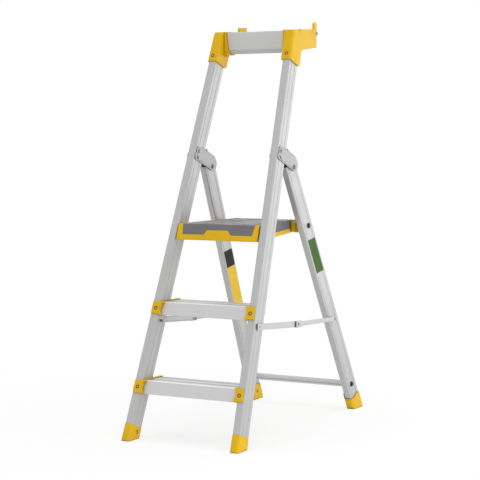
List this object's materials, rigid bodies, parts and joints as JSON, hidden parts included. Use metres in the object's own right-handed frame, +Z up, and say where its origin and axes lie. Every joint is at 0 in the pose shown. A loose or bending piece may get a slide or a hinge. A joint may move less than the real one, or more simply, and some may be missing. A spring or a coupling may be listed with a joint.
{
  "type": "step ladder",
  "caption": "Folding platform step ladder: leaning aluminium front frame with hand rail and steps, swing-in rear frame, tip-up platform and side spreaders.",
  "frame": {"origin": "on the floor under the middle of the open ladder's box", "axes": "+X across to the right as seen by someone facing the steps, +Y from the steps to the rear legs, +Z up"},
  "size_m": [0.438, 0.9298, 1.3649],
  "materials": {
    "aluminium": "brushed mill finish extrusion",
    "step_aluminium": "bright ribbed extrusion",
    "zinc_steel": "zinc-plated pressed steel",
    "black_steel": "black coated steel",
    "yellow_plastic": "moulded, fine satin grain",
    "deck_plastic": "moulded, coarse non-slip grain",
    "black_plastic": "moulded, matt"
  },
  "bodies": {
    "front_frame": {"stile_left": "aluminium", "stile_right": "aluminium", "handrail": "aluminium", "handrail_bracket_left": "yellow_plastic", "handrail_bracket_right": "yellow_plastic", "step_lower": "step_aluminium", "step_middle": "step_aluminium", "step_bracket_lower_left": "yellow_plastic", "step_bracket_lower_right": "yellow_plastic", "step_bracket_middle_left": "yellow_plastic", "step_bracket_middle_right": "yellow_plastic", "front_foot_left": "yellow_plastic", "front_foot_right": "yellow_plastic", "hinge_plate_outer_left": "zinc_steel", "hinge_plate_outer_right": "zinc_steel", "hinge_plate_inner_left": "zinc_steel", "hinge_plate_inner_right": "zinc_steel", "hinge_rivet_upper_left": "zinc_steel", "hinge_rivet_upper_right": "zinc_steel", "hinge_rivet_lower_left": "zinc_steel", "hinge_rivet_lower_right": "zinc_steel", "hinge_pivot_left": "zinc_steel", "hinge_pivot_right": "zinc_steel", "platform_pivot_left": "zinc_steel", "platform_pivot_right": "zinc_steel", "spreader_front_bolt_left": "zinc_steel", "spreader_front_bolt_right": "zinc_steel"},
    "rear_frame": {"rear_leg_left": "aluminium", "rear_leg_right": "aluminium", "rear_leg_cap_left": "black_plastic", "rear_leg_cap_right": "black_plastic", "rear_foot_left": "yellow_plastic", "rear_foot_right": "yellow_plastic", "hinge_bush_left": "black_plastic", "hinge_bush_right": "black_plastic", "rear_brace": "aluminium", "brace_bolt_left": "black_steel", "brace_bolt_right": "black_steel", "rest_bolt_left": "black_steel", "rest_bolt_right": "black_steel", "rest_sleeve_left": "yellow_plastic", "rest_sleeve_right": "yellow_plastic"},
    "platform": {"platform_frame": "yellow_plastic", "platform_deck": "deck_plastic", "platform_hook_left": "yellow_plastic", "platform_hook_right": "yellow_plastic"},
    "spreader_front_left": {"spreader_front_link_left": "aluminium", "spreader_bush_left": "black_plastic", "spreader_mid_rivet_left": "zinc_steel"},
    "spreader_front_right": {"spreader_front_link_right": "aluminium", "spreader_bush_right": "black_plastic", "spreader_mid_rivet_right": "zinc_steel"},
    "spreader_rear_left": {"spreader_rear_link_left": "aluminium", "spreader_mid_bush_left": "black_plastic", "spreader_rear_rivet_left": "zinc_steel"},
    "spreader_rear_right": {"spreader_rear_link_right": "aluminium", "spreader_mid_bush_right": "black_plastic", "spreader_rear_rivet_right": "zinc_steel"}
  },
  "joints": [
    {"name": "rear_fold", "type": "hinge", "parent": "front_frame", "child": "rear_frame", "pos_m": [0, 0.00972, 0.87365], "axis": [1, 0, 0], "range_deg": [-47.08, 0]},
    {"name": "platform_lift", "type": "hinge", "parent": "front_frame", "child": "platform", "pos_m": [0, -0.15574, 0.67], "axis": [1, 0, 0], "range_deg": [0, 68.75]},
    {"name": "spreader_front_left", "type": "hinge", "parent": "front_frame", "child": "spreader_front_left", "pos_m": [-0.199, -0.28861, 0.37412], "axis": [1, 0, 0], "range_deg": [0, 65.46]},
    {"name": "spreader_rear_left", "type": "hinge", "parent": "spreader_front_left", "child": "spreader_rear_left", "pos_m": [-0.2035, -0.02486, 0.3532], "axis": [1, 0, 0], "range_deg": [-164, 0]},
    {"name": "spreader_front_right", "type": "hinge", "parent": "front_frame", "child": "spreader_front_right", "pos_m": [0.199, -0.28861, 0.37412], "axis": [1, 0, 0], "range_deg": [0, 65.46]},
    {"name": "spreader_rear_right", "type": "hinge", "parent": "spreader_front_right", "child": "spreader_rear_right", "pos_m": [0.2035, -0.02486, 0.3532], "axis": [1, 0, 0], "range_deg": [-164, 0]}
  ],
  "couplings": [
    {"joint": "platform_lift", "follows": "rear_fold", "ratio": -1.4603},
    {"joint": "spreader_front_left", "follows": "rear_fold", "ratio": -1.3903},
    {"joint": "spreader_rear_left", "follows": "rear_fold", "ratio": 3.4834},
    {"joint": "spreader_front_right", "follows": "rear_fold", "ratio": -1.3903},
    {"joint": "spreader_rear_right", "follows": "rear_fold", "ratio": 3.4834}
  ]
}
